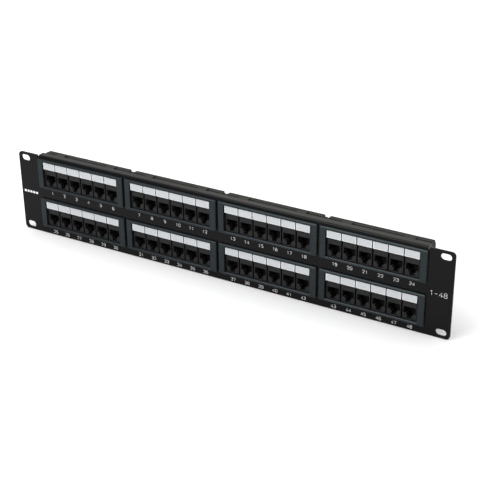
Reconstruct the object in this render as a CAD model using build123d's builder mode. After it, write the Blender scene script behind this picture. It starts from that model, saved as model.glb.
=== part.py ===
"""A 48-port, two-unit-high 19-inch patch panel.

Frame: X along the panel, to the right as seen from the front; Y from the front to the rear, so the
ports face -Y; Z up. The origin is the centre of the rack-slot pattern, on the rear face of the ears,
which is the face that seats on the rack rails. Millimetres.

Eight equal port modules stand in two rows of four. Each sub-part of a module is built once about the
module's own centre, then placed in each of the eight module positions.
"""

import os

from build123d import *

# Steel panel (EIA-310 rack ears, two rack units)
panel_width = 482.6
panel_height = 88.1
sheet = 1.6
ear_corner_radius = 4.0
rack_slot_spacing_x = 465.1
rack_slot_spacing_z = 76.2
rack_slot_length = 10.5
rack_slot_width = 6.5
flange_length = 431.5
flange_reach = 8.0
bend_radius = 2.5
bend_relief_width = 1.2
bend_relief_depth = 3.1
flange_corner_radius = 1.5
cutout_corner_radius = 0.5

# Module grid
columns = 4
rows = 2
column_pitch = 108.7
row_pitch = 44.45
upper_row_z = 25.5

# Window that shows the six jacks, measured about the module's centre
window_width = 93.4
window_height = 27.4
window_z = -0.85

# Front bezel
bezel_width = 106.0
bezel_height = 32.6
bezel_z = -0.85
bezel_depth = 2.5
bezel_corner_radius = 1.2
bezel_edge_chamfer = 0.6
bezel_top_chamfer = 1.0
window_sill_chamfer = 0.8
skirt_wall = 1.2
skirt_reach = 3.0
skirt_clearance = 0.2
barb_width = 8.0
barb_height = 0.9
barb_length = 2.4
barb_gap = 0.1
barb_positions = (-30.0, 0.0, 30.0)
arm_width = 10.0
arm_reach = 8.4
arm_hook = 1.3
arm_hook_length = 1.8
arm_hook_flat = 0.7
arm_tip_relief = 0.2

# Rear carrier
carrier_width = 104.0
carrier_height = 35.3
carrier_z = -0.75
carrier_depth = 13.8
carrier_side_wall = 1.7
carrier_top_wall = 1.6
ledge_front = 4.4
ledge_depth = 2.0
ledge_reach = 2.1
boss_size = 4.6
boss_length = 5.3
boss_x = 48.3
boss_spacing_z = 28.1
root = 0.4
rib_front = 11.0
rib_depth = 2.0
rib_height = 0.5
rib_inset = 1.5
lug_x = 31.0
lug_front = 6.5
lug_width = 10.0
lug_height = 1.6

# Jacks
ports_per_module = 6
port_pitch = 15.4
jack_width = 13.8
jack_front = -1.8
jack_top = 12.65
jack_bottom = -14.35
plug_width = 12.0
plug_top = -1.6
plug_bottom = -8.4
plug_depth = 13.1
shoulder_width = 7.0
shoulder_bottom = -10.2
shoulder_depth = 10.0
latch_width = 4.6
latch_bottom = -13.7
well_width = 9.6
well_top = 2.6
well_front = 0.2
label_seat_width = 15.0
label_seat_bottom = 4.85
label_seat_front = -2.7
mouth_chamfer = 0.25
insert_clearance = 0.1
insert_plate_bottom = 1.0
insert_plate_top = 1.8
insert_plate_front = 2.2
neck_overlap = 0.6

# Contacts: eight flat springs in each jack, and the tails that carry them back to the board
contacts_per_port = 8
contact_pitch = 1.02
contact_width = 0.5
contact_thickness = 0.3
spring_root_y = 1.2
spring_root_z = 0.2
spring_tip_y = 9.6
spring_tip_z = -3.7
spring_curl_y = 10.1
spring_curl_z = -3.3
tail_height = 0.1
tail_front = 1.3
tail_drop_to = 0.7
tail_board_gap = 0.05

# Port label tiles
tile_width = 14.3
tile_height = 7.4
tile_depth = 0.9
tile_z = 8.85
tile_edge = 0.2

# Circuit board
board_width = 103.6
board_height = 34.9
board_thickness = 1.6
board_corner_radius = 1.0

# Board screws
screw_shank_radius = 1.0
screw_bore_radius = 1.05
screw_head_radius = 1.9
screw_head_height = 1.3
screw_head_round = 0.78
screw_reach = 7.0
screw_clearance_radius = 1.3
screw_drive_length = 2.2
screw_drive_width = 0.5
screw_drive_depth = 0.6

# Punch-down block: a base plate with two rows of three four-pair towers
base_thickness = 2.0
base_width = 103.8
base_height = 35.1
base_corner_radius = 1.8
tower_width = 30.2
tower_height = 9.0
tower_depth = 17.0
tower_pitch = 30.8
tower_row_z = (2.0, -10.5)
towers_per_row = 3
wires_per_tower = 8
wire_pitch = 3.6
wire_slot_width = 1.2
wire_slot_depth = 7.0
tooth_chamfer = 1.1
clip_clearance = 0.05
clip_thickness = 0.6
clip_length = 5.6
clip_slit_width = 0.4
clip_slit_depth = 4.6

# Derived places
board_front = carrier_depth
base_front = board_front + board_thickness
base_rear = base_front + base_thickness
tower_rear = base_rear + tower_depth
carrier_top = carrier_z + carrier_height / 2
bezel_front = -sheet - bezel_depth
jack_rear = board_front - 0.2
cutout_width = window_width + 2 * (skirt_wall + skirt_clearance)
cutout_height = window_height + 2 * (skirt_wall + skirt_clearance)
port_x = [port_pitch * (i - (ports_per_module - 1) / 2) for i in range(ports_per_module)]
contact_x = [contact_pitch * (i - (contacts_per_port - 1) / 2) for i in range(contacts_per_port)]
wire_x = [wire_pitch * (i - (wires_per_tower - 1) / 2) for i in range(wires_per_tower)]
tower_x = [tower_pitch * (i - (towers_per_row - 1) / 2) for i in range(towers_per_row)]


def facing(y):
    """The plane at depth y that looks out of the front: its x is X, its y is Z, it grows towards -Y."""
    return Plane.XZ.offset(-y)


def side_on(x):
    """The plane at place x seen from the right: its x is Y, its y is Z, it grows towards +X."""
    return Plane.YZ.offset(x)


def module_centres():
    """Centres of the eight modules, the upper row first, each row from left to right."""
    for row in range(rows):
        for column in range(columns):
            x = column_pitch * (column - (columns - 1) / 2)
            yield x, upper_row_z - row_pitch * row


def save(piece, name):
    """Label one finished piece and write it as its own STEP file."""
    piece.label = name
    export_step(piece, f"parts/{name}.step")


def save_in_modules(piece, name):
    """Place a piece that was built about a module's centre in all eight modules, one file each."""
    for number, (x, z) in enumerate(module_centres(), start=1):
        save(piece.moved(Location((x, 0, z))), f"{name}_{number}")


def save_over_modules(piece, name):
    """Place a group of small identical pieces in all eight modules, as one node."""
    placed = [piece.moved(Location((x, 0, z))) for x, z in module_centres()]
    save(Compound([solid for group in placed for solid in group.solids()]), name)


def make_rack_panel():
    """Folded steel front: ears with rack slots, eight module cut-outs and a stiffening top flange."""
    sheet_top = panel_height / 2
    with BuildPart() as rack_panel:
        with BuildSketch(facing(0)):
            RectangleRounded(panel_width, panel_height, ear_corner_radius)
        extrude(amount=sheet)

        with BuildSketch(facing(flange_reach - sheet)):
            with Locations((0, sheet_top - sheet / 2)):
                Rectangle(flange_length, sheet)
        extrude(amount=flange_reach - sheet)

        with BuildSketch(facing(0)):
            for side in (1, -1):
                with Locations((side * (flange_length + bend_relief_width) / 2, sheet_top)):
                    Rectangle(bend_relief_width, 2 * bend_relief_depth)
        extrude(amount=sheet, mode=Mode.SUBTRACT)

        with BuildSketch(facing(0)):
            with GridLocations(rack_slot_spacing_x, rack_slot_spacing_z, 2, 2):
                SlotOverall(rack_slot_length, rack_slot_width)
            for x, z in module_centres():
                with Locations((x, z + window_z)):
                    RectangleRounded(cutout_width, cutout_height, cutout_corner_radius)
        extrude(amount=sheet, mode=Mode.SUBTRACT)

        lengthwise = rack_panel.edges().filter_by(Axis.X)
        flange_edges = lengthwise.filter_by(lambda e: abs(e.length - flange_length) < 0.1)
        outer_bend = flange_edges.sort_by_distance((0, -sheet, sheet_top))[0]
        inner_bend = flange_edges.sort_by_distance((0, 0, sheet_top - sheet))[0]
        fillet(outer_bend, bend_radius)
        fillet(inner_bend, bend_radius - sheet)

        upright = rack_panel.edges().filter_by(Axis.Z)
        flange_corners = upright.filter_by(lambda e: abs(e.center().Y - (flange_reach - sheet)) < 0.01)
        fillet(flange_corners, flange_corner_radius)
    save(rack_panel.part, "rack_panel")


def make_front_bezels():
    """Picture-frame bezel, with a skirt through the cut-out, barbs behind the sheet and side arms."""
    with BuildPart() as front_bezel:
        with BuildSketch(facing(-sheet)):
            with Locations((0, bezel_z)):
                RectangleRounded(bezel_width, bezel_height, bezel_corner_radius)
        extrude(amount=bezel_depth)
        chamfer(front_bezel.faces().sort_by(Axis.Y)[0].edges(), bezel_edge_chamfer)
        with BuildSketch(side_on(bezel_width / 2)):
            with Locations((bezel_front, bezel_z + bezel_height / 2)):
                Rectangle(2 * bezel_top_chamfer / 2**0.5, 2 * bezel_top_chamfer / 2**0.5, rotation=45)
        extrude(amount=-bezel_width, mode=Mode.SUBTRACT)

        with BuildSketch(facing(skirt_reach)):
            with Locations((0, window_z)):
                Rectangle(window_width + 2 * skirt_wall, window_height + 2 * skirt_wall)
        extrude(amount=skirt_reach + sheet)

        for side in (1, -1):
            skirt_edge = side * window_height / 2 + side * skirt_wall + window_z
            for x in barb_positions:
                with BuildSketch(side_on(x)):
                    with BuildLine():
                        Polyline(
                            (barb_gap, skirt_edge - side * skirt_wall / 2),
                            (barb_gap, skirt_edge + side * barb_height),
                            (barb_gap + barb_length / 4, skirt_edge + side * barb_height),
                            (barb_gap + barb_length, skirt_edge),
                            (barb_gap + barb_length, skirt_edge - side * skirt_wall / 2),
                            close=True,
                        )
                    make_face()
                extrude(amount=barb_width / 2, both=True)

        for side in (1, -1):
            inner = side * window_width / 2
            outer = inner + side * skirt_wall
            hook = outer + side * arm_hook
            with BuildSketch(Plane.XY):
                with BuildLine():
                    Polyline(
                        (inner, 0),
                        (outer, 0),
                        (outer, arm_reach - arm_hook_length),
                        (hook, arm_reach - arm_hook_length),
                        (hook, arm_reach - arm_hook_length + arm_hook_flat),
                        (outer - side * arm_tip_relief, arm_reach),
                        (inner, arm_reach),
                        close=True,
                    )
                make_face()
            extrude(amount=arm_width / 2, both=True)

        with BuildSketch(facing(skirt_reach)):
            with Locations((0, window_z)):
                Rectangle(window_width, window_height)
        extrude(amount=skirt_reach - bezel_front, mode=Mode.SUBTRACT)
        sill = front_bezel.edges().filter_by(Axis.X).filter_by(
            lambda e: abs(e.center().Y - bezel_front) < 0.01 and abs(e.length - window_width) < 0.01
        )
        chamfer(sill.sort_by(Axis.Z)[0], window_sill_chamfer)
    save_in_modules(front_bezel.part, "front_bezel")


def screw_places():
    """The four screw axes at the corners of a module's carrier."""
    return [(x, carrier_z + z) for x in (-boss_x, boss_x) for z in (-boss_spacing_z / 2, boss_spacing_z / 2)]


def make_rear_carriers():
    """Open box behind the sheet that holds the jacks and the board, with two lugs at the flange."""
    inner_width = carrier_width - 2 * carrier_side_wall
    bend_room = bend_radius - sheet
    with BuildPart() as rear_carrier:
        with BuildSketch(facing(carrier_depth)):
            with Locations((0, carrier_z)):
                Rectangle(carrier_width, carrier_height)
                Rectangle(inner_width, carrier_height - 2 * carrier_top_wall, mode=Mode.SUBTRACT)
        extrude(amount=carrier_depth)

        with BuildSketch(facing(carrier_depth)):
            with Locations(*screw_places()):
                Rectangle(boss_size, boss_size)
        extrude(amount=boss_length)

        # ledges inside the side walls, which the bezel's arms hook behind
        with BuildSketch(facing(ledge_front + ledge_depth)):
            for side in (1, -1):
                with Locations((side * (inner_width + root - ledge_reach) / 2, 0)):
                    Rectangle(ledge_reach + root, arm_width + 2)
        extrude(amount=ledge_depth)

        # rib along the top, and the two lugs that stand behind the panel's flange
        with BuildSketch(facing(rib_front + rib_depth)):
            with Locations((0, carrier_top + (rib_height - root) / 2)):
                Rectangle(carrier_width - 2 * rib_inset, rib_height + root)
        extrude(amount=rib_depth)
        with BuildSketch(facing(rib_front + rib_depth)):
            for side in (1, -1):
                with Locations((side * lug_x, carrier_top + (lug_height - root) / 2)):
                    Rectangle(lug_width, lug_height + root)
        extrude(amount=rib_front + rib_depth - lug_front)

        # the upper front edge is cut back for the inside of the panel's bend
        with BuildSketch(side_on(carrier_width / 2)):
            with BuildLine():
                Polyline(
                    (0, carrier_top + sheet),
                    (0, carrier_top - bend_room),
                    (bend_room, carrier_top),
                    (bend_room, carrier_top + sheet),
                    close=True,
                )
            make_face()
        extrude(amount=-carrier_width, mode=Mode.SUBTRACT)

        with BuildSketch(facing(carrier_depth)):
            with Locations(*screw_places()):
                Circle(screw_bore_radius)
        extrude(amount=boss_length, mode=Mode.SUBTRACT)
    save_in_modules(rear_carrier.part, "rear_carrier")


def jack_shell():
    """One tab-down modular jack housing about its own port centre, with the label seat above it."""
    with BuildPart() as shell:
        with BuildSketch(facing(jack_rear)):
            with Locations((0, (jack_top + jack_bottom) / 2)):
                Rectangle(jack_width, jack_top - jack_bottom)
        extrude(amount=jack_rear - jack_front)

        with BuildSketch(facing(jack_front)):
            with Locations((0, (jack_top + label_seat_bottom) / 2)):
                Rectangle(label_seat_width, jack_top - label_seat_bottom)
        extrude(amount=jack_front - label_seat_front)

        # plug room, open at both ends: the insert closes it behind
        with BuildSketch(facing(jack_rear)):
            with Locations((0, (plug_top + plug_bottom) / 2)):
                Rectangle(plug_width, plug_top - plug_bottom)
        extrude(amount=jack_rear - jack_front, mode=Mode.SUBTRACT)

        # stepped slot for the plug's latch
        with BuildSketch(facing(jack_front + shoulder_depth)):
            with Locations((0, (plug_bottom + shoulder_bottom) / 2)):
                Rectangle(shoulder_width, plug_bottom - shoulder_bottom)
            with Locations((0, (plug_bottom + latch_bottom) / 2)):
                Rectangle(latch_width, plug_bottom - latch_bottom)
        extrude(amount=shoulder_depth, mode=Mode.SUBTRACT)

        # well above the plug for the contacts, open to the rear
        with BuildSketch(facing(jack_rear)):
            with Locations((0, (plug_top + well_top) / 2)):
                Rectangle(well_width, well_top - plug_top)
        extrude(amount=jack_rear - well_front, mode=Mode.SUBTRACT)

        mouth = shell.faces().filter_by(Plane.XZ).sort_by(Axis.Y).group_by(Axis.Y)[1]
        plug_mouth = mouth.edges().filter_by(
            lambda e: e.center().Z < plug_top + 0.01 and e.center().Z > latch_bottom - 0.01
            and abs(e.center().X) < plug_width / 2 + 0.01
        )
        chamfer(plug_mouth, mouth_chamfer)
    return shell.part


def jack_insert():
    """Contact insert of one jack: a grooved plate in the well and the wall behind the plug."""
    wall_front = jack_front + plug_depth
    width = plug_width - 2 * insert_clearance
    neck = well_width - 2 * insert_clearance
    with BuildPart() as insert:
        with BuildSketch(facing(jack_rear)):
            with Locations((0, (plug_top + plug_bottom) / 2)):
                Rectangle(width, plug_top - plug_bottom - 2 * insert_clearance)
            with Locations((0, (plug_top - neck_overlap + insert_plate_top) / 2)):
                Rectangle(neck, insert_plate_top - plug_top + neck_overlap)
        extrude(amount=jack_rear - wall_front)
        with BuildSketch(facing(jack_rear)):
            with Locations((0, (insert_plate_bottom + insert_plate_top) / 2)):
                Rectangle(neck, insert_plate_top - insert_plate_bottom)
        extrude(amount=jack_rear - insert_plate_front)
    return insert.part


def make_jack_sets():
    """The six jacks of a module side by side, each with its contact insert."""
    shell = jack_shell()
    insert = jack_insert()
    with BuildPart() as jack_set:
        with Locations(*[(x, 0, 0) for x in port_x]):
            add(shell)
            add(insert)
    save_in_modules(jack_set.part, "jack_set")


def flat_strip(points):
    """One contact: a flat metal strip that follows the given points in Y and Z."""
    with BuildPart() as strip:
        with BuildSketch(side_on(-contact_width / 2)):
            with BuildLine():
                Polyline(*points)
            trace(line_width=contact_thickness)
        extrude(amount=contact_width)
    return strip.part


def make_contact_springs():
    """The sprung ends of the contacts, which slope down into the plug room from their front bends."""
    spring = flat_strip(
        [
            (spring_root_y, spring_root_z),
            (spring_tip_y, spring_tip_z),
            (spring_curl_y, spring_curl_z),
        ]
    )
    with BuildPart() as contact_springs:
        with Locations(*[(x + offset, 0, 0) for x in port_x for offset in contact_x]):
            add(spring)
    save_in_modules(contact_springs.part, "contact_springs")


def make_contact_tails():
    """The fixed ends of the contacts, from the front bends over the inserts to the boards."""
    tail_z = insert_plate_top + tail_height + contact_thickness / 2
    tail = flat_strip(
        [
            (board_front - tail_board_gap, tail_z),
            (tail_front, tail_z),
            (tail_front, tail_drop_to),
        ]
    )
    with BuildPart() as contact_tails:
        with Locations(*[(x + offset, 0, 0) for x in port_x for offset in contact_x]):
            add(tail)
    save_over_modules(contact_tails.part, "contact_tails")


def make_port_labels():
    """The six blank tiles of a module, one on each jack's label seat."""
    with BuildPart() as port_labels:
        with BuildSketch(facing(label_seat_front)):
            with Locations(*[(x, tile_z) for x in port_x]):
                Rectangle(tile_width, tile_height)
        extrude(amount=tile_depth)
        front_edges = port_labels.faces().group_by(Axis.Y)[0].edges()
        chamfer(front_edges, tile_edge)
    save_in_modules(port_labels.part, "port_labels")


def make_circuit_boards():
    """The board between a module's jacks and its punch-down block."""
    with BuildPart() as circuit_board:
        with BuildSketch(facing(base_front)):
            with Locations((0, carrier_z)):
                RectangleRounded(board_width, board_height, board_corner_radius)
            with Locations(*screw_places()):
                Circle(screw_clearance_radius, mode=Mode.SUBTRACT)
        extrude(amount=board_thickness)
    save_in_modules(circuit_board.part, "circuit_board")


def punchdown_tower():
    """One four-pair tower: a roofed block with eight wire slots, open at both sides and behind."""
    with BuildPart() as tower:
        with BuildSketch(facing(tower_rear)):
            Rectangle(tower_width, tower_height)
        extrude(amount=tower_depth + base_thickness / 2)
        roof_edges = tower.faces().sort_by(Axis.Y)[-1].edges().filter_by(Axis.X)
        chamfer(roof_edges, length=tooth_chamfer, length2=2 * tooth_chamfer)

        with BuildSketch(facing(tower_rear)):
            with Locations(*[(x, 0) for x in wire_x]):
                Rectangle(wire_slot_width, tower_height)
        extrude(amount=wire_slot_depth, mode=Mode.SUBTRACT)
    return tower.part


def make_punchdown_blocks():
    """Rear moulding of a module: a base plate over the board and two rows of three towers."""
    tower = punchdown_tower()
    with BuildPart() as punchdown_block:
        with BuildSketch(facing(base_rear)):
            with Locations((0, carrier_z)):
                Rectangle(base_width, base_height)
            with Locations(*screw_places()):
                Circle(screw_clearance_radius, mode=Mode.SUBTRACT)
        extrude(amount=base_thickness)
        plate_corners = punchdown_block.edges().filter_by(Axis.Z).group_by(Axis.Y)[-1]
        fillet(plate_corners, base_corner_radius)
        with Locations(*[(x, 0, z) for z in tower_row_z for x in tower_x]):
            add(tower)
    save_in_modules(punchdown_block.part, "punchdown_block")


def insulation_clip():
    """One insulation-displacement clip: a metal fork that stands in a wire slot and grips the wire."""
    slot_floor = tower_rear - wire_slot_depth
    clip_rear = slot_floor + clip_length
    with BuildPart() as clip:
        with BuildSketch(facing(clip_rear)):
            Rectangle(wire_slot_width - 2 * clip_clearance, clip_thickness)
        extrude(amount=clip_length - clip_clearance)
        with BuildSketch(facing(clip_rear)):
            Rectangle(clip_slit_width, clip_thickness)
        extrude(amount=clip_slit_depth, mode=Mode.SUBTRACT)
    return clip.part


def make_insulation_clips():
    """All the insulation-displacement clips, eight in each tower."""
    clip = insulation_clip()
    with BuildPart() as insulation_clips:
        with Locations(*[(x + offset, 0, z) for z in tower_row_z for x in tower_x for offset in wire_x]):
            add(clip)
    save_over_modules(insulation_clips.part, "insulation_clips")


def make_board_screws():
    """Pan-head screws, four through each base plate and board into the carrier's bosses."""
    with BuildPart() as screw:
        with BuildSketch(facing(base_rear + screw_head_height)):
            Circle(screw_head_radius)
        extrude(amount=screw_head_height)
        fillet(screw.faces().sort_by(Axis.Y)[-1].edges(), screw_head_round)
        with BuildSketch(facing(base_rear)):
            Circle(screw_shank_radius)
        extrude(amount=screw_reach)
        with BuildSketch(facing(base_rear + screw_head_height)):
            Rectangle(screw_drive_length, screw_drive_width)
            Rectangle(screw_drive_width, screw_drive_length)
        extrude(amount=screw_drive_depth, mode=Mode.SUBTRACT)
    with BuildPart() as board_screws:
        with Locations(*[(x, 0, z) for x, z in screw_places()]):
            add(screw.part)
    save_over_modules(board_screws.part, "board_screws")


os.makedirs("parts", exist_ok=True)
make_rack_panel()
make_front_bezels()
make_rear_carriers()
make_jack_sets()
make_contact_springs()
make_contact_tails()
make_port_labels()
make_circuit_boards()
make_punchdown_blocks()
make_insulation_clips()
make_board_screws()
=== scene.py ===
"""The looks of a 48-port, two-unit-high patch panel, standing on a pale floor in soft studio light.

Every shape that fits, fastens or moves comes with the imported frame. This script gives each of them
its finish, prints the port numbers and the plain marks on the steel, and adds the wiring colour
strips on the rear. Lengths are metres, in the frame's own axes: the ports face -Y and Z is up.
"""

import math

import bmesh
import bpy
from mathutils import Matrix, Vector


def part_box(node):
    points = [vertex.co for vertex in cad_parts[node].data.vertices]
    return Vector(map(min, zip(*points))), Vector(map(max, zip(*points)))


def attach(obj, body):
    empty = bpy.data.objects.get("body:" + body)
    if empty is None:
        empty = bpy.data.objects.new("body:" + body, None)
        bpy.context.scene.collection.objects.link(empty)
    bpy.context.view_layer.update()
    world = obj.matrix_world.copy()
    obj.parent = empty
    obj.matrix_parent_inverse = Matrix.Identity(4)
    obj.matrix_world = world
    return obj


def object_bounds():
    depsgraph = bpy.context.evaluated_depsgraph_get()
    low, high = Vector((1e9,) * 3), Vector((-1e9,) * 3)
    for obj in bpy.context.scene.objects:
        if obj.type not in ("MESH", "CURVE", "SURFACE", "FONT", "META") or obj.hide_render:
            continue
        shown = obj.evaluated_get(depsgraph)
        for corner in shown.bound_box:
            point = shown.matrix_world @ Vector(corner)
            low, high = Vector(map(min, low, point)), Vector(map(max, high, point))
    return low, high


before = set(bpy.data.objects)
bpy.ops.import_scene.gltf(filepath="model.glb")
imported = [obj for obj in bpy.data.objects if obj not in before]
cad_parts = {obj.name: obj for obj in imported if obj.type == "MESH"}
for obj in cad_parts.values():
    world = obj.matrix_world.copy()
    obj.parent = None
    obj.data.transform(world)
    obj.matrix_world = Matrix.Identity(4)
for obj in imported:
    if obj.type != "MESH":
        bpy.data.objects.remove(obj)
cad_low, cad_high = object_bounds()

MM = 0.001
RACK_UNIT = 44.45 * MM
PORTS_PER_MODULE = 6
PORT_PITCH = 15.4 * MM
MODULES = range(1, 9)
UPPER_MODULES = range(1, 5)

# The steel sheet's front face
STEEL_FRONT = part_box("rack_panel")[0].y

# Centres of the two rows of modules
UPPER_ROW_Z = 25.5 * MM
LOWER_ROW_Z = UPPER_ROW_Z - RACK_UNIT

# Printing on the steel
INK_THICKNESS = 0.04 * MM
NUMERAL_HEIGHT = 3.1 * MM
NUMERAL_WIDTH = 2.0 * MM
NUMERAL_ADVANCE = 3.0 * MM
NUMERAL_STROKE = 0.44 * MM
NUMERAL_BELOW_CENTRE = 21.5 * MM
NUMERAL_SHIFT = 0.6 * MM

# The mark on the right ear, and its size against that of the port numbers
RIGHT_MARK_X = 227.8 * MM
RIGHT_MARK_SCALE = 1.5

# The row of bars on the left ear
LEFT_MARK_X = -229.4 * MM
LEFT_MARK_WIDTH = 18.5 * MM
BARS = 5
BAR_PITCH = LEFT_MARK_WIDTH / BARS
BAR_WIDTH = 0.72 * BAR_PITCH
BAR_HEIGHT = 2.4 * MM

# The strokes of each character, as points across and up a unit square
STROKES = {
    "0": [
        [(0.25, 0), (0.75, 0), (1, 0.2), (1, 0.8), (0.75, 1), (0.25, 1), (0, 0.8), (0, 0.2), (0.25, 0)],
    ],
    "1": [
        [(0.2, 0.78), (0.6, 1), (0.6, 0)],
    ],
    "2": [
        [(0, 0.78), (0.2, 1), (0.8, 1), (1, 0.8), (1, 0.62), (0, 0.02), (1, 0.02)],
    ],
    "3": [
        [(0, 0.86), (0.2, 1), (0.8, 1), (1, 0.84), (1, 0.68), (0.8, 0.53), (0.4, 0.53)],
        [(0.8, 0.53), (1, 0.38), (1, 0.18), (0.8, 0), (0.2, 0), (0, 0.14)],
    ],
    "4": [
        [(0.78, 0), (0.78, 1), (0, 0.28), (1.05, 0.28)],
    ],
    "5": [
        [(0.95, 1), (0.1, 1), (0.05, 0.56)]
        + [(0.78, 0.6), (1, 0.42), (1, 0.2), (0.78, 0), (0.2, 0), (0, 0.14)],
    ],
    "6": [
        [(0.9, 0.96), (0.3, 1), (0, 0.78), (0, 0.2), (0.22, 0)]
        + [(0.78, 0), (1, 0.18), (1, 0.4), (0.78, 0.57), (0, 0.57)],
    ],
    "7": [
        [(0, 1), (1, 1), (0.35, 0)],
    ],
    "8": [
        [(0.22, 0.53), (0.06, 0.7), (0.06, 0.84), (0.25, 1)]
        + [(0.75, 1), (0.94, 0.84), (0.94, 0.7), (0.78, 0.53)],
        [(0.78, 0.53), (0.22, 0.53), (0, 0.36), (0, 0.18), (0.22, 0)]
        + [(0.78, 0), (1, 0.18), (1, 0.36), (0.78, 0.53)],
    ],
    "9": [
        [(0.1, 0.04), (0.7, 0), (1, 0.22), (1, 0.8), (0.78, 1)]
        + [(0.22, 1), (0, 0.82), (0, 0.6), (0.22, 0.43), (1, 0.43)],
    ],
    "-": [
        [(0.1, 0.46), (0.9, 0.46)],
    ],
}

# Wiring colour strips, each on the plate of a punch-down block, two rows of patches above each tower
BLOCK_PLATE = 2.0 * MM
STRIP_WIDTH = 96 * MM
STRIP_HEIGHT = 5.6 * MM
STRIP_ABOVE_CENTRE = 11.0 * MM
STRIP_THICKNESS = 0.25 * MM
PATCH_WIDTH = 2.5 * MM
PATCH_HEIGHT = 1.7 * MM
WIRE_PITCH = 3.6 * MM
TOWER_PITCH = 30.8 * MM
TOWERS_PER_ROW = 3
WIRES_PER_TOWER = 8

# Radiance of the white surround, and of the dim part of it that lies in front and above the horizon
SURROUND = 1.15
SURROUND_IN_FRONT = 0.15

# The floor reaches far past the view, and glows faintly so that its shadows stay pale
FLOOR_HALF = 20.0
FLOOR_GLOW = 0.02

# The camera, placed about the middle of the steel's front face
VIEW_AZIMUTH = math.radians(29.89)
VIEW_ELEVATION = math.radians(27.15)
VIEW_ROLL = math.radians(-0.44)
VIEW_DISTANCE = 1.182
VIEW_RIGHT = 0.0308
VIEW_UP = -0.0110
LENS = 87.8
SENSOR_WIDTH = 36


# ---------------------------------------------------------------- finishes


class Finish:
    """A Principled material, with short ways to add the procedural nodes that it needs."""

    def __init__(self, name, colour, roughness, metallic=0.0, specular=0.5, tint=(1, 1, 1)):
        self.material = bpy.data.materials.new(name)
        self.material.use_nodes = True
        self.material.diffuse_color = (*colour, 1)
        self.nodes = self.material.node_tree.nodes
        self.links = self.material.node_tree.links
        self.shader = self.nodes["Principled BSDF"]
        self.shader.inputs["Base Color"].default_value = (*colour, 1)
        self.shader.inputs["Roughness"].default_value = roughness
        self.shader.inputs["Metallic"].default_value = metallic
        self.shader.inputs["Specular IOR Level"].default_value = specular
        self.shader.inputs["Specular Tint"].default_value = (*tint, 1)
        self.place = self.nodes.new("ShaderNodeTexCoord").outputs["Object"]
        self.normal = None

    def put(self, value, socket):
        """Sets a socket to a number or colour, or links it to another node's output."""
        if isinstance(value, bpy.types.NodeSocket):
            self.links.new(value, socket)
        elif isinstance(value, tuple) and len(value) == 3 and socket.type == "RGBA":
            socket.default_value = (*value, 1)
        else:
            socket.default_value = value

    def noise(self, scale, detail=3.0, stretch=(1, 1, 1)):
        """Cloudy noise; scale is in cycles to the metre."""
        mapping = self.nodes.new("ShaderNodeMapping")
        mapping.inputs["Scale"].default_value = stretch
        self.links.new(self.place, mapping.inputs["Vector"])
        noise = self.nodes.new("ShaderNodeTexNoise")
        noise.inputs["Scale"].default_value = scale
        noise.inputs["Detail"].default_value = detail
        self.links.new(mapping.outputs["Vector"], noise.inputs["Vector"])
        return noise.outputs["Fac"]

    def spread(self, value, low, high, start=0.35, end=0.65):
        """Maps a value between start and end to the range from low to high."""
        spread = self.nodes.new("ShaderNodeMapRange")
        self.put(value, spread.inputs["Value"])
        self.put(start, spread.inputs["From Min"])
        self.put(end, spread.inputs["From Max"])
        self.put(low, spread.inputs["To Min"])
        self.put(high, spread.inputs["To Max"])
        return spread.outputs["Result"]

    def maths(self, operation, first, second):
        """The result of a sum, product or other operation on one or two numbers."""
        maths = self.nodes.new("ShaderNodeMath")
        maths.operation = operation
        self.put(first, maths.inputs[0])
        self.put(second, maths.inputs[1])
        return maths.outputs[0]

    def mix(self, share, first, second):
        """A colour between first and second."""
        mix = self.nodes.new("ShaderNodeMix")
        mix.data_type = "RGBA"
        self.put(share, mix.inputs[0])
        self.put(first, mix.inputs[6])
        self.put(second, mix.inputs[7])
        return mix.outputs[2]

    def colour(self, value):
        self.put(value, self.shader.inputs["Base Color"])

    def roughness(self, value):
        self.put(value, self.shader.inputs["Roughness"])

    def rounded(self, radius):
        """The normals of the surface with its sharp edges rounded."""
        bevel = self.nodes.new("ShaderNodeBevel")
        bevel.samples = 4
        bevel.inputs["Radius"].default_value = radius
        return bevel.outputs["Normal"]

    def soften_edges(self, radius):
        """Rounds the sharp edges as the eye sees them."""
        self.normal = self.rounded(radius)
        self.links.new(self.normal, self.shader.inputs["Normal"])

    def edges(self, radius, low=0.6, high=0.98):
        """One along the sharp edges, out to about radius from them, and nothing on the flat."""
        dot = self.nodes.new("ShaderNodeVectorMath")
        dot.operation = "DOT_PRODUCT"
        self.links.new(self.rounded(radius), dot.inputs[0])
        geometry = self.nodes.new("ShaderNodeNewGeometry")
        self.links.new(geometry.outputs["True Normal"], dot.inputs[1])
        return self.spread(dot.outputs["Value"], 1.0, 0.0, low, high)

    def bump(self, height, depth):
        """Raises the surface where height is one, by depth."""
        bump = self.nodes.new("ShaderNodeBump")
        bump.inputs["Strength"].default_value = 1.0
        bump.inputs["Distance"].default_value = depth
        self.links.new(height, bump.inputs["Height"])
        if self.normal is not None:
            self.links.new(self.normal, bump.inputs["Normal"])
        self.normal = bump.outputs["Normal"]
        self.links.new(self.normal, self.shader.inputs["Normal"])


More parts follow.
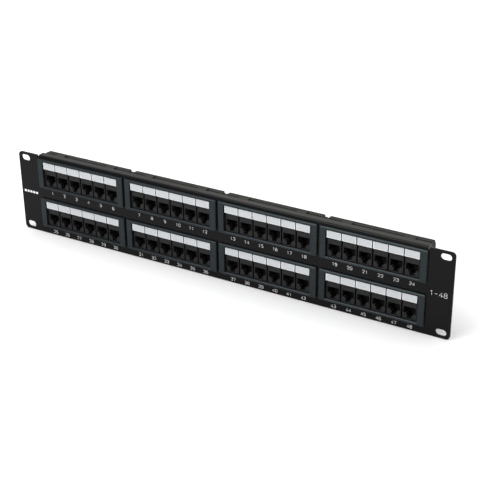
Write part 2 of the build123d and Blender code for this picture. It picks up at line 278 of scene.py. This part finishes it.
def powder_coat():
    """Satin black powder coat on steel: a fine orange peel, with a painted highlight in patches along the
    sharp edges.
    """
    pale_green = (0.95, 1.0, 0.93)
    finish = Finish("powder_coat", (0.0025, 0.0025, 0.0026), 0.24, specular=0.12, tint=pale_green)
    finish.soften_edges(0.22 * MM)
    patches = finish.spread(finish.noise(90), 0.0, 1.0, 0.5, 0.75)
    # Paler grey in patches along the sharp edges: a painted highlight of the edges catching the light
    painted_edge_highlight = finish.maths("MULTIPLY", finish.edges(0.22 * MM), patches)
    coat = finish.mix(finish.noise(14), (0.0018, 0.0018, 0.0018), (0.0032, 0.0032, 0.0034))
    finish.colour(finish.mix(painted_edge_highlight, coat, (0.05, 0.05, 0.05)))
    finish.roughness(finish.spread(finish.noise(2600, 2), 0.19, 0.29))
    finish.bump(finish.noise(1300, 2), 0.012 * MM)
    return finish.material


def bezel_plastic():
    """Charcoal ABS with a fine spark-eroded grain."""
    pale_cyan = (0.80, 0.97, 1.0)
    finish = Finish("bezel_plastic", (0.013, 0.016, 0.018), 0.30, specular=0.20, tint=pale_cyan)
    finish.soften_edges(0.25 * MM)
    flow = finish.noise(22, 4, (1, 1, 3))
    finish.colour(finish.mix(flow, (0.0105, 0.0135, 0.0155), (0.0150, 0.0185, 0.0215)))
    finish.roughness(finish.spread(finish.noise(900, 2), 0.25, 0.35))
    finish.bump(finish.noise(3600, 2), 0.010 * MM)
    return finish.material


def carrier_plastic():
    """Matt dark grey glass-filled plastic, slightly mottled."""
    finish = Finish("carrier_plastic", (0.022, 0.025, 0.020), 0.62, specular=0.16)
    finish.soften_edges(0.2 * MM)
    mottle = finish.noise(160, 5)
    finish.colour(finish.mix(mottle, (0.015, 0.018, 0.014), (0.025, 0.028, 0.023)))
    finish.roughness(finish.spread(finish.noise(700, 3), 0.56, 0.70))
    finish.bump(finish.noise(2400, 3), 0.016 * MM)
    return finish.material


def jack_plastic():
    """Smooth black thermoplastic."""
    finish = Finish("jack_plastic", (0.012, 0.0122, 0.0130), 0.42, specular=0.16)
    finish.soften_edges(0.15 * MM)
    finish.colour(finish.mix(finish.noise(60, 3), (0.010, 0.0102, 0.0106), (0.016, 0.0162, 0.0166)))
    finish.roughness(finish.spread(finish.noise(1200, 2), 0.36, 0.50))
    finish.bump(finish.noise(4200, 2), 0.006 * MM)
    return finish.material


def contact_gold():
    """Gold-plated phosphor bronze, with the fine lines of the stamping along each spring."""
    finish = Finish("contact_gold", (0.95, 0.70, 0.30), 0.24, metallic=1.0)
    lines = finish.noise(5200, 3, (1, 0.05, 0.05))
    finish.colour(finish.mix(finish.noise(800, 2), (0.86, 0.60, 0.24), (1.0, 0.76, 0.36)))
    finish.roughness(finish.spread(lines, 0.16, 0.34))
    finish.bump(lines, 0.004 * MM)
    return finish.material


def label_card():
    """White card behind a thin matt film, with a painted highlight round its rim."""
    finish = Finish("label_card", (0.52, 0.54, 0.56), 0.55, specular=0.3)
    finish.soften_edges(0.15 * MM)
    fibre = finish.noise(1500, 5, (1, 1, 2.5))
    card = finish.mix(fibre, (0.49, 0.51, 0.53), (0.55, 0.57, 0.59))
    # Near white out to about 1.2 mm from the tile's edges: a painted highlight of the rim catching the light
    painted_rim_highlight = finish.edges(1.2 * MM, 0.90, 0.998)
    finish.colour(finish.mix(painted_rim_highlight, card, (0.95, 0.95, 0.95)))
    finish.roughness(finish.spread(finish.noise(500, 3), 0.48, 0.62))
    finish.bump(fibre, 0.008 * MM)
    return finish.material


def solder_mask():
    """Green solder mask on the faces of the board and bare laminate, in layers, on its edges."""
    finish = Finish("solder_mask", (0.008, 0.055, 0.022), 0.3, specular=0.3)
    geometry = finish.nodes.new("ShaderNodeNewGeometry")
    split = finish.nodes.new("ShaderNodeSeparateXYZ")
    finish.links.new(geometry.outputs["True Normal"], split.inputs[0])
    facing = finish.maths("ABSOLUTE", split.outputs["Y"], 0.0)
    layers = finish.noise(2600, 2, (0.02, 1, 0.02))
    laminate = finish.mix(layers, (0.012, 0.014, 0.009), (0.022, 0.024, 0.015))
    mask = finish.mix(finish.noise(300, 4), (0.006, 0.045, 0.018), (0.011, 0.068, 0.028))
    cut_edge = finish.spread(facing, 1.0, 0.0, 0.4, 0.6)
    finish.colour(finish.mix(cut_edge, mask, laminate))
    finish.roughness(finish.spread(cut_edge, 0.28, 0.8, 0.0, 1.0))
    finish.bump(finish.noise(1800, 3), 0.006 * MM)
    return finish.material


def punchdown_plastic():
    """Black glass-filled plastic of the punch-down blocks, a little scuffed by the tool."""
    finish = Finish("punchdown_plastic", (0.012, 0.0122, 0.013), 0.5, specular=0.12)
    finish.soften_edges(0.2 * MM)
    patches = finish.spread(finish.noise(420, 4), 0.0, 1.0, 0.45, 0.7)
    scuffs = finish.maths("MULTIPLY", finish.edges(0.2 * MM), patches)
    base = finish.mix(finish.noise(90, 4), (0.009, 0.0092, 0.010), (0.015, 0.0152, 0.016))
    finish.colour(finish.mix(scuffs, base, (0.085, 0.086, 0.088)))
    finish.roughness(finish.spread(finish.noise(900, 3), 0.42, 0.60))
    finish.bump(finish.noise(2600, 3), 0.012 * MM)
    return finish.material


def tin_plate():
    """Tin-plated spring bronze of the wire clips."""
    finish = Finish("tin_plate", (0.72, 0.71, 0.68), 0.3, metallic=1.0)
    grain = finish.noise(2400, 4, (1, 0.2, 1))
    finish.colour(finish.mix(grain, (0.60, 0.585, 0.55), (0.80, 0.79, 0.765)))
    finish.roughness(finish.spread(grain, 0.22, 0.42))
    finish.bump(grain, 0.006 * MM)
    return finish.material


def zinc_plate():
    """Bright zinc on the screws, slightly stained."""
    finish = Finish("zinc_plate", (0.60, 0.61, 0.63), 0.3, metallic=1.0)
    finish.soften_edges(0.12 * MM)
    stain = finish.noise(700, 4)
    finish.colour(finish.mix(stain, (0.46, 0.46, 0.47), (0.70, 0.71, 0.735)))
    finish.roughness(finish.spread(finish.noise(3000, 3), 0.22, 0.40))
    finish.bump(finish.noise(2200, 3), 0.006 * MM)
    return finish.material


def ink(name, colour):
    """Screen-printed ink: matt, and a little uneven in its cover."""
    finish = Finish(name, colour, 0.6, specular=0.3)
    thin = tuple(0.86 * channel for channel in colour)
    finish.colour(finish.mix(finish.spread(finish.noise(2800, 3), 0.0, 1.0), thin, colour))
    finish.roughness(finish.spread(finish.noise(1500, 2), 0.5, 0.7))
    finish.bump(finish.noise(5000, 2), 0.004 * MM)
    return finish.material


FINISHES = {
    "panel_black": powder_coat(),
    "bezel_plastic": bezel_plastic(),
    "carrier_plastic": carrier_plastic(),
    "jack_plastic": jack_plastic(),
    "contact_gold": contact_gold(),
    "label_white": label_card(),
    "board_green": solder_mask(),
    "punchdown_plastic": punchdown_plastic(),
    "clip_metal": tin_plate(),
    "screw_steel": zinc_plate(),
}
WHITE_INK = ink("white_ink", (0.90, 0.90, 0.90))

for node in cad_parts.values():
    for slot in node.material_slots:
        slot.material = FINISHES[slot.material.name]


# ---------------------------------------------------------------- pieces


def centre_of(node):
    low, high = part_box(node)
    return (low + high) / 2


def piece_from_bmesh(name, shape, material):
    mesh = bpy.data.meshes.new(name)
    shape.to_mesh(mesh)
    shape.free()
    mesh.materials.append(material)
    piece = bpy.data.objects.new(name, mesh)
    bpy.context.scene.collection.objects.link(piece)
    return piece


def print_words(name, words, stroke):
    """A piece of ink on the steel; each of the words is its text, centre across, centre up and scale."""
    curve = bpy.data.curves.new(name, "CURVE")
    curve.dimensions = "3D"
    curve.bevel_depth = stroke / 2
    curve.bevel_resolution = 1
    curve.use_fill_caps = True
    for text, centre_x, centre_z, scale in words:
        first_x = centre_x - scale * ((len(text) - 1) * NUMERAL_ADVANCE + NUMERAL_WIDTH) / 2
        bottom = centre_z - scale * NUMERAL_HEIGHT / 2
        for place, character in enumerate(text):
            left = first_x + place * scale * NUMERAL_ADVANCE
            for path in STROKES[character]:
                spline = curve.splines.new("POLY")
                spline.points.add(len(path) - 1)
                for point, (across, up) in zip(spline.points, path):
                    x = left + across * scale * NUMERAL_WIDTH
                    z = bottom + up * scale * NUMERAL_HEIGHT
                    point.co = (x, 0, z, 1)
    drawn = bpy.data.objects.new(name, curve)
    mesh = bpy.data.meshes.new_from_object(drawn)
    bpy.data.objects.remove(drawn)
    bpy.data.curves.remove(curve)
    flatten = Matrix.Diagonal((1, INK_THICKNESS / stroke, 1, 1))
    mesh.transform(Matrix.Translation((0, STEEL_FRONT - INK_THICKNESS / 2, 0)) @ flatten)
    mesh.materials.clear()
    mesh.materials.append(WHITE_INK)
    piece = bpy.data.objects.new(name, mesh)
    bpy.context.scene.collection.objects.link(piece)
    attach(piece, "panel")


def add_block(shape, low, high):
    """Adds a box between two corners to shape, and returns its faces."""
    size = Vector(high) - Vector(low)
    middle = (Vector(high) + Vector(low)) / 2
    matrix = Matrix.Translation(middle) @ Matrix.Diagonal((*size, 1))
    made = bmesh.ops.create_cube(shape, size=1.0, matrix=matrix)
    return {face for vertex in made["verts"] for face in vertex.link_faces}


def print_port_numbers():
    """The numbers 1 to 48, one under each port."""
    words = []
    for module in MODULES:
        middle_x = centre_of(f"front_bezel_{module}").x
        row_z = UPPER_ROW_Z if module in UPPER_MODULES else LOWER_ROW_Z
        for port in range(PORTS_PER_MODULE):
            number = (module - 1) * PORTS_PER_MODULE + port + 1
            x = middle_x + (port - (PORTS_PER_MODULE - 1) / 2) * PORT_PITCH + NUMERAL_SHIFT
            words.append((str(number), x, row_z - NUMERAL_BELOW_CENTRE, 1.0))
    print_words("port_numbers", words, NUMERAL_STROKE)


def print_ear_marks():
    """A row of plain bars on the left ear, and the range of port numbers on the right one."""
    print_words("right_ear_mark", [("1-48", RIGHT_MARK_X, 0, RIGHT_MARK_SCALE)], NUMERAL_STROKE)
    shape = bmesh.new()
    for bar in range(BARS):
        x = LEFT_MARK_X + (bar - (BARS - 1) / 2) * BAR_PITCH
        low = (x - BAR_WIDTH / 2, STEEL_FRONT - INK_THICKNESS, -BAR_HEIGHT / 2)
        high = (x + BAR_WIDTH / 2, STEEL_FRONT, BAR_HEIGHT / 2)
        add_block(shape, low, high)
    left = piece_from_bmesh("left_ear_mark", shape, WHITE_INK)
    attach(left, "panel")


def wiring_strip(module, card, inks):
    """A card strip above the punch-down towers, with a colour patch above each wire slot."""
    block_low, block_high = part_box(f"punchdown_block_{module}")
    middle = (block_low + block_high) / 2
    plate_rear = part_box(f"circuit_board_{module}")[1].y + BLOCK_PLATE
    card_rear = plate_rear + STRIP_THICKNESS
    z = middle.z + STRIP_ABOVE_CENTRE
    shape = bmesh.new()
    low = (middle.x - STRIP_WIDTH / 2, plate_rear, z - STRIP_HEIGHT / 2)
    high = (middle.x + STRIP_WIDTH / 2, card_rear, z + STRIP_HEIGHT / 2)
    add_block(shape, low, high)
    rear = card_rear + INK_THICKNESS
    for tower in range(TOWERS_PER_ROW):
        tower_x = middle.x + (tower - (TOWERS_PER_ROW - 1) / 2) * TOWER_PITCH
        for wire in range(WIRES_PER_TOWER):
            x = tower_x + (wire - (WIRES_PER_TOWER - 1) / 2) * WIRE_PITCH
            pair = wire // 2 + 1
            striped = wire % 2 == 0
            for row in (-1, 1):
                patch_z = z + row * STRIP_HEIGHT / 4
                height = PATCH_HEIGHT / 2 if striped else PATCH_HEIGHT
                faces = add_block(
                    shape,
                    (x - PATCH_WIDTH / 2, card_rear, patch_z - PATCH_HEIGHT / 2),
                    (x + PATCH_WIDTH / 2, rear, patch_z - PATCH_HEIGHT / 2 + height),
                )
                for face in faces:
                    face.material_index = pair
    strip = piece_from_bmesh(f"wiring_strip_{module}", shape, card)
    for colour in inks:
        strip.data.materials.append(colour)
    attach(strip, "panel")


def make_wiring_strips():
    inks = (
        ink("blue_ink", (0.02, 0.09, 0.42)),
        ink("orange_ink", (0.75, 0.20, 0.02)),
        ink("green_ink", (0.02, 0.26, 0.06)),
        ink("brown_ink", (0.13, 0.05, 0.02)),
    )
    for module in MODULES:
        wiring_strip(module, FINISHES["label_white"], inks)


print_port_numbers()
print_ear_marks()
make_wiring_strips()


# ---------------------------------------------------------------- studio


def make_floor():
    """A wide pale floor that the panel stands on."""
    shape = bmesh.new()
    corners = ((-1, -1), (1, -1), (1, 1), (-1, 1))
    shape.faces.new([shape.verts.new((x * FLOOR_HALF, y * FLOOR_HALF, cad_low.z)) for x, y in corners])
    finish = Finish("studio_floor", (0.92, 0.92, 0.92), 0.9, specular=0.0)
    finish.shader.inputs["Emission Color"].default_value = (1, 1, 1, 1)
    finish.shader.inputs["Emission Strength"].default_value = FLOOR_GLOW
    floor = piece_from_bmesh("floor", shape, finish.material)


def softbox(name, direction, distance, size, radiance, colour=(1, 1, 1)):
    """A rectangular light, seen only in what it lights, that faces the panel from a direction."""
    light = bpy.data.lights.new(name, "AREA")
    light.color = colour
    light.shape = "RECTANGLE"
    light.size, light.size_y = size
    light.energy = radiance * math.pi * light.size * light.size_y
    lamp = bpy.data.objects.new(name, light)
    towards = Vector(direction).normalized()
    lamp.location = towards * distance
    lamp.rotation_euler = towards.to_track_quat("Z", "Y").to_euler()
    lamp.visible_camera = False
    bpy.context.scene.collection.objects.link(lamp)


def map_range(nodes, links, value, span, result=(0.0, 1.0), interpolation="LINEAR"):
    """Maps a value from one span of numbers to another."""
    node = nodes.new("ShaderNodeMapRange")
    node.interpolation_type = interpolation
    links.new(value, node.inputs["Value"])
    node.inputs["From Min"].default_value, node.inputs["From Max"].default_value = span
    node.inputs["To Min"].default_value, node.inputs["To Max"].default_value = result
    return node.outputs["Result"]


def make_surround():
    """A white surround that is dimmer in front of the panel, from the horizon to well up the sky."""
    world = bpy.data.worlds.new("studio")
    world.use_nodes = True
    nodes = world.node_tree.nodes
    links = world.node_tree.links
    direction = nodes.new("ShaderNodeSeparateXYZ")
    links.new(nodes.new("ShaderNodeTexCoord").outputs["Generated"], direction.inputs[0])
    in_front = map_range(nodes, links, direction.outputs["Y"], (-0.55, -0.15), (1.0, 0.0), "SMOOTHSTEP")
    above_horizon = map_range(nodes, links, direction.outputs["Z"], (0.05, 0.16), interpolation="SMOOTHSTEP")
    below_zenith = map_range(nodes, links, direction.outputs["Z"], (0.72, 0.55), interpolation="SMOOTHSTEP")
    dimmed = in_front
    for part in (above_horizon, below_zenith):
        both = nodes.new("ShaderNodeMath")
        both.operation = "MULTIPLY"
        links.new(dimmed, both.inputs[0])
        links.new(part, both.inputs[1])
        dimmed = both.outputs[0]
    background = nodes["Background"]
    background.inputs["Color"].default_value = (1, 1, 1, 1)
    strength = map_range(nodes, links, dimmed, (0.0, 1.0), (SURROUND, SURROUND_IN_FRONT))
    links.new(strength, background.inputs["Strength"])
    bpy.context.scene.world = world


def place_softboxes():
    """A large key light above the front, and weaker ones overhead, behind and low in front."""
    softbox("key", (-0.22, -0.50, 0.84), distance=1.5, size=(0.8, 0.7), radiance=5.4)
    softbox("overhead", (-0.25, 0.10, 0.95), distance=1.5, size=(1.2, 0.8), radiance=1.0)
    softbox("behind", (-0.33, 0.80, 0.50), distance=2.4, size=(0.8, 0.9), radiance=0.6, colour=(1, 1, 0.80))
    softbox("low_front", (0.16, -0.98, -0.04), distance=0.58, size=(0.5, 0.05), radiance=5.0)


def place_camera():
    away = Vector((
        math.sin(VIEW_AZIMUTH) * math.cos(VIEW_ELEVATION),
        -math.cos(VIEW_AZIMUTH) * math.cos(VIEW_ELEVATION),
        math.sin(VIEW_ELEVATION),
    ))
    level_right = Vector((math.cos(VIEW_AZIMUTH), math.sin(VIEW_AZIMUTH), 0))
    level_up = away.cross(level_right)
    right = level_right * math.cos(VIEW_ROLL) + level_up * math.sin(VIEW_ROLL)
    up = level_up * math.cos(VIEW_ROLL) - level_right * math.sin(VIEW_ROLL)
    camera = bpy.data.objects.new("camera", bpy.data.cameras.new("camera"))
    camera.data.lens = LENS
    camera.data.sensor_width = SENSOR_WIDTH
    panel_middle = Vector((0, STEEL_FRONT, 0))
    place = panel_middle + right * VIEW_RIGHT + up * VIEW_UP + away * VIEW_DISTANCE
    turn = Matrix((right, up, away)).transposed().to_4x4()
    camera.matrix_world = Matrix.Translation(place) @ turn
    bpy.context.scene.collection.objects.link(camera)
    bpy.context.scene.camera = camera


make_floor()
make_surround()
place_softboxes()
place_camera()
bpy.context.scene.view_settings.view_transform = "Standard"
